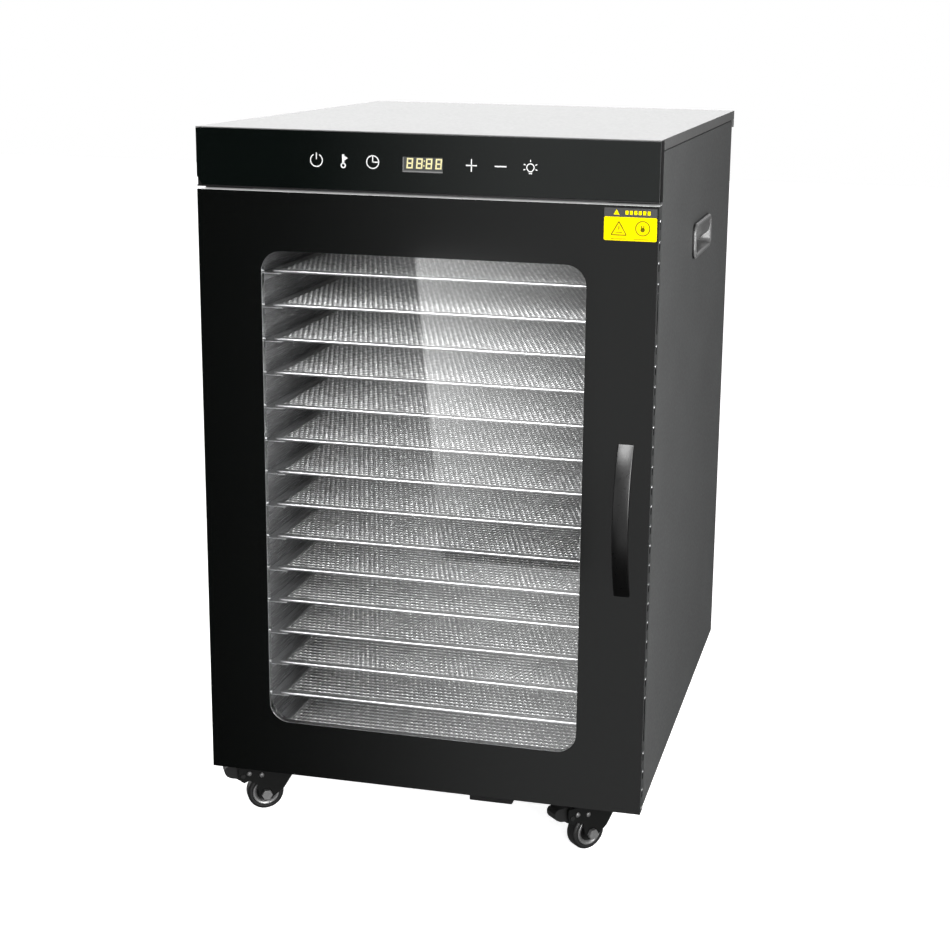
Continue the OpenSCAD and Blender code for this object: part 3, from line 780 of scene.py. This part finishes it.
def grip_shape(place):
    """One grip: a raised rounded rim round a scooped pocket, with a shelf over the pocket's upper half.

    place maps Y, Z and the distance from the cabinet's middle. The second value lists the faces of the
    rim's outer wall, which are painted black as shade.
    """
    low, high = cab_box("side_handles")
    y, z, top = (low[1], high[1]), (low[2], high[2]), high[0]
    seat, floor = HALF_W - 0.75, HALF_W - 22
    rim_w, rim_drop = 6.2, 3
    path = rounded_path(y, z, 14, steps=10)
    profile = [(0, seat), (0, top - 3.2), (-0.45, top - 1.6), (-1.6, top - 0.45), (-3.2, top),
               (-4.6, top - 0.3), (-5.6, top - 1.2), (-rim_w, top - rim_drop)]
    vertices, faces = swept(path, profile, place, closed_profile=False)
    inner_y, inner_z = (y[0] + rim_w, y[1] - rim_w), (z[0] + rim_w, z[1] - rim_w)
    centre_y, centre_z = y[0] + 0.66 * (y[1] - y[0]), z[0] + 0.6 * (z[1] - z[0])
    count = len(path)
    previous = [(i + 1) * len(profile) - 1 for i in range(count)]
    rings = 7
    for ring in range(1, rings + 1):
        share = ring / rings
        depth = top - rim_drop + (floor - top + rim_drop) * (1 - (1 - share) ** 2)
        pull = 0.72 * share ** 1.6
        now = []
        for a, b, na, nb in path:
            a0 = min(max(a - na * rim_w, inner_y[0]), inner_y[1])
            b0 = min(max(b - nb * rim_w, inner_z[0]), inner_z[1])
            now.append(len(vertices))
            vertices.append(place(a0 + (centre_y - a0) * pull, b0 + (centre_z - b0) * pull * 0.75, depth))
        faces += [(previous[i], previous[(i + 1) % count], now[(i + 1) % count], now[i])
                  for i in range(count)]
        previous = now
    faces.append(tuple(previous))
    shelf = rounded_path((y[0] + 5.2, y[1] - 5.2), ((z[0] + z[1]) / 2, z[1] - 5.2), 7, steps=6)
    shape = joined([(vertices, faces), plate_shape(shelf, top - 4.8, top - 2.4, place, 0.7)])
    shade_painted_wall = [i * (len(profile) - 1) for i in range(count)]
    return shape, shade_painted_wall


def build_side_handles():
    """The grips in both sides. A rim's outer wall is painted matt black: painted shade where the wall falls
    in shadow.
    """
    for side, name in ((-1, "left"), (1, "right")):
        (vertices, faces), shade_painted_wall = grip_shape(lambda a, b, out, side=side: cab(side * out, a, b))
        mesh = mesh_of("side_grip_" + name, vertices, faces, 50)
        # Painted shade: the rim's outer wall gets the black plastic in place of its shadow.
        for index in shade_painted_wall:
            mesh.polygons[index].material_index = 1
        replaced = ("side_handles",) if side > 0 else ()
        add_piece("side_grip_" + name, mesh, "cabinet", "black_plastic", [SIDE_PLASTIC, PLASTIC], replaced)


# ---------------------------------------------------------------- castors

WHEEL_R = 23.5
WHEEL_HALF = 9
TYRE_EDGE = 4
AXLE_HEAD_R = 8
FORK_OUTER = 14
RIVETS = ((22, 30.5), (6, 27))
UP = Vector((0, 0, 1))


def both_sides(points):
    """Half a closed wheel profile, given from the middle outwards, with its mirror."""
    return points + [(radius, -along) for radius, along in reversed(points)]


def build_wheel(name, axle):
    """A twin-material wheel: tyre, bright hub rings and dished hub, turned about its axle."""
    node = "castor_wheel_" + name
    low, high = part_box(node)
    centre = (low + high) / 2
    side = axle.cross(UP)

    def place(a, b, along):
        return centre + (side * a + UP * b + axle * along) * MM

    shoulder = arc_points(WHEEL_R - TYRE_EDGE, WHEEL_HALF - TYRE_EDGE, TYRE_EDGE, 0, 90, 8)
    tyre = both_sides(shoulder + [(18.2, WHEEL_HALF - 0.3), (17.4, WHEEL_HALF - 2)])
    ring = [(17.3, 7.0), (17.3, 8.8), (16.8, 9.4), (16.0, 9.6), (15.2, 9.4), (12.4, 7.9), (11.9, 7.0)]
    rings = [[(radius, s * along) for radius, along in ring] for s in (1, -1)]
    hub = both_sides([(17.2, 6.9), (11.8, 6.9), (11.2, 6.4), (8.2, 6.2), (7.8, 6.8), (7.6, 10.2),
                      (4.1, 10.4)])
    for label, profiles, material in (("tyre", [tyre], TYRE), ("ring", rings, HUB_RING), ("hub", [hub], HUB)):
        vertices, faces = joined([lathe(profile, 96, place) for profile in profiles])
        piece = "wheel_%s_%s" % (name, label)
        mesh = mesh_of(piece, vertices, faces, 40)
        replaced = (node,) if label == "tyre" else ()
        add_piece(piece, mesh, "wheel_" + name, "tyre_rubber", [material], replaced)


def fork_paint(axle, centre):
    """The axle's bolt head and nut are bare steel, the fork itself is black."""

    def paint(place, normal):
        point = cab(*place) - centre
        along = point.dot(axle)
        radial = (point - axle * along).length
        return 1 if radial < AXLE_HEAD_R * MM and abs(along) > (FORK_OUTER + 0.02) * MM else 0

    return paint


def build_rivets(name, axle, centre, trail):
    """Rivet heads on the outer faces of a fork's legs."""
    head = [(3.2, 0), (3.2, 0.5), (2.7, 1.2), (1.7, 1.7), (0.05, 1.9), (0.05, 0)]
    parts = []
    for behind, above in RIVETS:
        for s in (-1, 1):
            at = centre + (trail * behind + UP * above + axle * (s * FORK_OUTER)) * MM

            def place(a, b, along, at=at, s=s):
                return at + (trail * a + UP * b + axle * (along * s)) * MM

            parts.append(lathe(head, 32, place))
    vertices, faces = joined(parts)
    mesh = mesh_of("rivets_" + name, vertices, faces, 50)
    add_piece("fork_rivets_" + name, mesh, "castor_" + name, "castor_steel", [BOLT])


def build_castors():
    for name in ("front_left", "front_right", "rear_left", "rear_right"):
        joint = joint_named("wheel_%s_spin" % name)
        axle = Vector(joint["axis"]).normalized()
        centre = Vector(joint["pos_m"])
        swivel = Vector(joint_named("castor_%s_swivel" % name)["pos_m"])
        trail = axle.cross(UP)
        if (centre - swivel).dot(trail) < 0:
            trail = -trail
        refine("castor_fork_" + name, [CASTOR_STEEL, BOLT], bevel=0.4, paint=fork_paint(axle, centre))
        build_wheel(name, axle)
        if name.startswith("front"):
            build_rivets(name, axle, centre, trail)
    for side in ("left", "right"):
        refine("brake_pedal_" + side, [PLASTIC], bevel=1.2, segments=3)
    refine("castor_plates", [ZINC], bevel=0.4)


# ---------------------------------------------------------------- cabinet


CABINET_LOOKS = (
    ("left_side_panel", SHELL, 0.35), ("right_side_panel", SHELL, 0.35), ("top_cover", COVER, 0.35),
    ("base_pan", SHELL_BACK, 0.35), ("back_panel", SHELL_BACK, 0.3), ("inner_liner", LINER_STEEL, 0.3),
    ("rear_baffle", LINER_STEEL, 0.3), ("tray_runners", RUNNER_STEEL, 0.35),
    ("heating_elements", ELEMENT, 0), ("fan_motor_upper", ZINC, 0.8), ("fan_motor_lower", ZINC, 0.8),
    ("fan_impeller_upper", ZINC, 0.2), ("fan_impeller_lower", ZINC, 0.2), ("control_board", BOARD, 0.2),
    ("display_module", PLASTIC, 0.3), ("power_board", BOARD, 0.3), ("interior_lamp", LAMP, 0.5),
    ("temperature_probe", STAINLESS, 0.3), ("power_inlet", PLASTIC, 0.3),
    ("hinge_frame_leaves", CASTOR_STEEL, 0.25), ("magnetic_catches", PLASTIC, 0.6),
    ("cabinet_screws", ZINC, 0.4))


def build_cabinet():
    for node, material, bevel in CABINET_LOOKS:
        refine(node, [material], bevel=bevel)
    refine("base_stop", [PLASTIC], bevel=1.5, segments=3)


# ---------------------------------------------------------------- stage

CAMERA_AT = (570.741, -1914.2, 934.5)
CAMERA_YAW, CAMERA_PITCH, CAMERA_ROLL = 12.95, 13.25, 0.90
SENSOR = 36
LENS = 65.88
LENS_SHIFT = (-0.0569, -0.0517)
FLOOR_HALF = 9


def build_camera():
    data = bpy.data.cameras.new("camera")
    data.sensor_width = SENSOR
    data.lens = LENS
    data.shift_x, data.shift_y = LENS_SHIFT
    data.clip_end = 50
    camera = bpy.data.objects.new("camera", data)
    bpy.context.scene.collection.objects.link(camera)
    turn = (Matrix.Rotation(math.radians(CAMERA_YAW), 4, "Z")
            @ Matrix.Rotation(math.radians(90 - CAMERA_PITCH), 4, "X")
            @ Matrix.Rotation(math.radians(CAMERA_ROLL), 4, "Z"))
    camera.matrix_world = Matrix.Translation(cab(*CAMERA_AT)) @ turn
    bpy.context.scene.camera = camera


def area_light(name, at, target, size, power, glossy=True):
    """A soft white light, its size in metres and its power in watts."""
    data = bpy.data.lights.new(name, "AREA")
    data.shape = "RECTANGLE"
    data.size, data.size_y = size
    data.energy = power
    light = bpy.data.objects.new(name, data)
    light.location = at
    light.rotation_euler = (target - at).to_track_quat("-Z", "Y").to_euler()
    light.visible_glossy = glossy
    light.visible_camera = False
    bpy.context.scene.collection.objects.link(light)
    return light


def build_floor():
    corners = [(x * FLOOR_HALF, y * FLOOR_HALF, 0) for x, y in ((-1, -1), (1, -1), (1, 1), (-1, 1))]
    mesh = bpy.data.meshes.new("floor")
    mesh.from_pydata(corners, [], [(0, 1, 2, 3)])
    look = Look("floor_paper", (0.9, 0.9, 0.9), roughness=0.9, Emission_Color=(1, 1, 1, 1),
                Emission_Strength=0.85)
    look.tinted(look.noise(3), 0.995, 1.0)
    mesh.materials.append(look.material)
    floor = bpy.data.objects.new("floor", mesh)
    floor.visible_glossy = False
    bpy.context.scene.collection.objects.link(floor)


def build_world():
    """A white studio for the camera; what the surfaces mirror is dark at the front left and below."""
    world = bpy.data.worlds.new("studio")
    world.use_nodes = True
    tree = world.node_tree
    tree.nodes.clear()

    def node(kind, **settings):
        made = tree.nodes.new(kind)
        for key, value in settings.items():
            setattr(made, key, value)
        return made

    def feed(value, socket):
        if isinstance(value, (int, float)):
            socket.default_value = value
        else:
            tree.links.new(value, socket)

    def calculate(operation, a, b=0.0):
        made = node("ShaderNodeMath", operation=operation)
        feed(a, made.inputs[0])
        feed(b, made.inputs[1])
        return made.outputs[0]

    def ramp(value, start, end, low, high):
        """Runs smoothly from low at start to high at end."""
        made = node("ShaderNodeMapRange", interpolation_type="SMOOTHSTEP")
        for index, item in enumerate((value, start, end, low, high)):
            feed(item, made.inputs[index])
        return made.outputs[0]

    coordinates = node("ShaderNodeTexCoord")
    split = node("ShaderNodeSeparateXYZ")
    tree.links.new(coordinates.outputs["Generated"], split.inputs[0])
    x, y, z = split.outputs
    forward = calculate("MAXIMUM", calculate("MULTIPLY", y, -1), 0.05)
    across = calculate("DIVIDE", x, forward)
    front = calculate("MULTIPLY", ramp(across, -0.385, -0.215, 0.012, 0.68), ramp(z, -0.66, -0.46, 0.0, 1.0))
    back = calculate("ADD", ramp(z, -0.1, 0.12, 0.22, 2.5), ramp(z, 0.35, 0.7, 0.0, -1.3))
    back = calculate("MULTIPLY", back, ramp(x, -0.03, 0.09, 1.0, 0.2))
    share = ramp(y, -0.12, 0.15, 0.0, 1.0)
    light = calculate("ADD", calculate("MULTIPLY", front, calculate("SUBTRACT", 1.0, share)),
                      calculate("MULTIPLY", back, share))
    path = node("ShaderNodeLightPath")
    soften = calculate("SUBTRACT", 1.0, calculate("MULTIPLY", path.outputs["Is Diffuse Ray"], 0.5))
    mirrored = node("ShaderNodeBackground")
    feed(calculate("MULTIPLY", light, soften), mirrored.inputs["Strength"])
    seen = node("ShaderNodeBackground")
    seen.inputs["Strength"].default_value = 1.0
    for background in (mirrored, seen):
        background.inputs["Color"].default_value = (1, 1, 1, 1)
    mix = node("ShaderNodeMixShader")
    output = node("ShaderNodeOutputWorld")
    tree.links.new(path.outputs["Is Camera Ray"], mix.inputs[0])
    tree.links.new(mirrored.outputs[0], mix.inputs[1])
    tree.links.new(seen.outputs[0], mix.inputs[2])
    tree.links.new(mix.outputs[0], output.inputs["Surface"])
    bpy.context.scene.world = world


def build_reflection_card():
    """A softly fading card that only shows as the bright band in the door's glass.

    mirrored() finds where the card must be for its image to lie at a place on the glass.
    """
    distance = 500.0
    eye = Vector(CAMERA_AT)

    def mirrored(x, z):
        share = (distance + 2) / (-eye.y)
        return cab(x + (x - eye.x) * share, -distance, z + (z - eye.z) * share)

    low, high, right = 300, WINDOW_Z[1], WINDOW_X[1] - 1
    corners = [mirrored(26, low), mirrored(right, low), mirrored(right, high), mirrored(-8, high)]
    mesh = bpy.data.meshes.new("reflection_card")
    mesh.from_pydata([tuple(c) for c in corners], [], [(0, 1, 2, 3)])
    layer = mesh.uv_layers.new(name="card")
    for index, uv in enumerate(((0, 0), (1, 0), (1, 1), (0, 1))):
        layer.data[index].uv = uv
    material = bpy.data.materials.new("card_glow")
    material.use_nodes = True
    tree = material.node_tree
    tree.nodes.clear()
    place = tree.nodes.new("ShaderNodeUVMap")
    split = tree.nodes.new("ShaderNodeSeparateXYZ")
    across = tree.nodes.new("ShaderNodeMapRange")
    upward = tree.nodes.new("ShaderNodeMapRange")
    product = tree.nodes.new("ShaderNodeMath")
    product.operation = "MULTIPLY"
    glow = tree.nodes.new("ShaderNodeEmission")
    output = tree.nodes.new("ShaderNodeOutputMaterial")
    for target, low, high in ((across, 1.55, 0.45), (upward, 0.0, 1.0)):
        target.inputs["To Min"].default_value = low
        target.inputs["To Max"].default_value = high
    upward.inputs["From Max"].default_value = 0.5
    tree.links.new(place.outputs[0], split.inputs[0])
    tree.links.new(split.outputs[0], across.inputs["Value"])
    tree.links.new(split.outputs[1], upward.inputs["Value"])
    tree.links.new(across.outputs[0], product.inputs[0])
    tree.links.new(upward.outputs[0], product.inputs[1])
    tree.links.new(product.outputs[0], glow.inputs["Strength"])
    tree.links.new(glow.outputs[0], output.inputs["Surface"])
    mesh.materials.append(material)
    card = bpy.data.objects.new("reflection_card", mesh)
    for ray in ("camera", "diffuse", "transmission", "shadow", "volume_scatter"):
        setattr(card, "visible_" + ray, False)
    bpy.context.scene.collection.objects.link(card)


def chamber_parts():
    """What the lights of the drying chamber fall on."""
    parts = bpy.data.collections.new("chamber_parts")
    for piece in bpy.data.objects:
        if piece.name.startswith(("tray_", "inner_liner", "rear_baffle")):
            parts.objects.link(piece)
    return parts


def build_lights():
    aim = cab(0, 100, 420)
    area_light("top_softbox", cab(-150, -1500, 2100), aim, (1.0, 0.7), 38)
    area_light("camera_fill", cab(1150, -2300, 1150), aim, (0.8, 0.6), 22)
    area_light("low_fill", cab(1000, -2100, 120), aim, (0.9, 0.5), 10, glossy=False)
    chamber = chamber_parts()
    for name, at, size, power in (("chamber_key", cab(-100, -2300, 1700), (1.0, 0.6), 106),
                                  ("chamber_left", cab(-876, -1500, 1750), (0.5, 0.5), 58),
                                  ("chamber_low", cab(1000, -2100, 120), (0.9, 0.5), 6)):
        light = area_light(name, at, cab(0, 300, 380), size, power)
        light.light_linking.receiver_collection = chamber
    area_light("right_softbox", cab(1100, -950, 800), cab(275, 100, 420), (0.8, 1.2), 36)


# ---------------------------------------------------------------- build

build_camera()
build_world()
build_floor()
build_reflection_card()
build_cabinet()
build_door()
build_fascia()
build_side_handles()
build_trays()
build_castors()
build_lights()

bpy.context.scene.view_settings.view_transform = "Standard"
